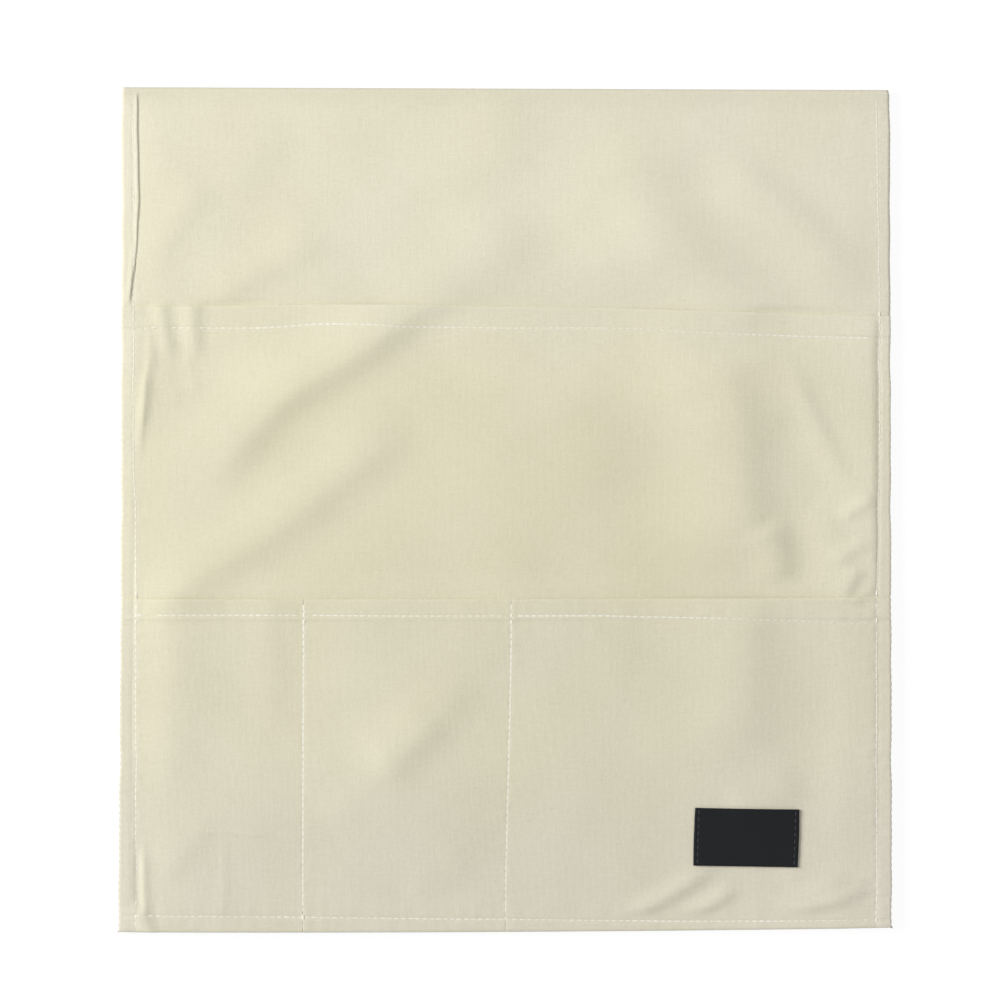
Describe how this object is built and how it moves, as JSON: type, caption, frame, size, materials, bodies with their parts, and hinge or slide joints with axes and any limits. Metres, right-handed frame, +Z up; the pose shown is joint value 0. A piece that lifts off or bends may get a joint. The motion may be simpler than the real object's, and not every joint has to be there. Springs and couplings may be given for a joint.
{
  "type": "sofa armrest organizer",
  "caption": "Folded beige linen cloth that saddles a sofa arm, with a wide flat pocket, a row of smaller pockets sewn over it and a bare black woven label.",
  "frame": {"origin": "on the table, under the middle of the folded cloth", "axes": "+X across the cloth to the right with the pockets facing up, +Y from the open ends to the fold, +Z up from the table"},
  "size_m": [0.35, 0.382, 0.0169],
  "materials": {
    "linen_cloth": "matte",
    "cream_thread": "matte",
    "black_label": "satin",
    "black_thread": "matte"
  },
  "bodies": {
    "back": {"back_leaf": "linen_cloth", "back_left_hem": "linen_cloth", "back_right_hem": "linen_cloth", "back_end_hem": "linen_cloth", "fold_turn": "linen_cloth", "back_left_outer_thread": "cream_thread", "back_left_inner_thread": "cream_thread", "back_right_outer_thread": "cream_thread", "back_right_inner_thread": "cream_thread", "back_end_outer_thread": "cream_thread", "back_end_inner_thread": "cream_thread"},
    "front": {"front_leaf": "linen_cloth", "left_hem": "linen_cloth", "right_hem": "linen_cloth", "bottom_hem": "linen_cloth", "large_pocket_backing": "linen_cloth", "left_edge_thread": "cream_thread", "left_edge_bobbin_thread": "cream_thread", "right_edge_thread": "cream_thread", "right_edge_bobbin_thread": "cream_thread", "bottom_edge_thread": "cream_thread", "bottom_edge_bobbin_thread": "cream_thread", "left_divider_thread": "cream_thread", "right_divider_thread": "cream_thread"},
    "large_pocket": {"large_pocket_front": "linen_cloth", "large_pocket_mouth_thread": "cream_thread"},
    "remote_pocket": {"remote_pocket_front": "linen_cloth", "remote_pocket_mouth_thread": "cream_thread"},
    "phone_pocket": {"phone_pocket_front": "linen_cloth", "phone_pocket_mouth_thread": "cream_thread"},
    "tablet_pocket": {"tablet_pocket_front": "linen_cloth", "tablet_pocket_mouth_thread": "cream_thread", "woven_label": "black_label", "label_left_thread": "black_thread", "label_right_thread": "black_thread"}
  },
  "joints": [
    {"name": "saddle_fold", "type": "hinge", "parent": "back", "child": "front", "pos_m": [0, 0.1887, 0.0023], "axis": [-1, 0, 0], "range_deg": [0, 160], "deforming": ["fold_turn"]},
    {"name": "large_pocket_open", "type": "hinge", "parent": "front", "child": "large_pocket", "pos_m": [0, -0.0405, 0.00995], "axis": [1, 0, 0], "range_deg": [0, 10]},
    {"name": "remote_pocket_open", "type": "hinge", "parent": "front", "child": "remote_pocket", "pos_m": [-0.1304, -0.1838, 0.00625], "axis": [1, 0, 0], "range_deg": [0, 6]},
    {"name": "phone_pocket_open", "type": "hinge", "parent": "front", "child": "phone_pocket", "pos_m": [-0.0459, -0.1838, 0.00625], "axis": [1, 0, 0], "range_deg": [0, 7]},
    {"name": "tablet_pocket_open", "type": "hinge", "parent": "front", "child": "tablet_pocket", "pos_m": [0.0845, -0.1838, 0.00625], "axis": [1, 0, 0], "range_deg": [0, 9]}
  ]
}
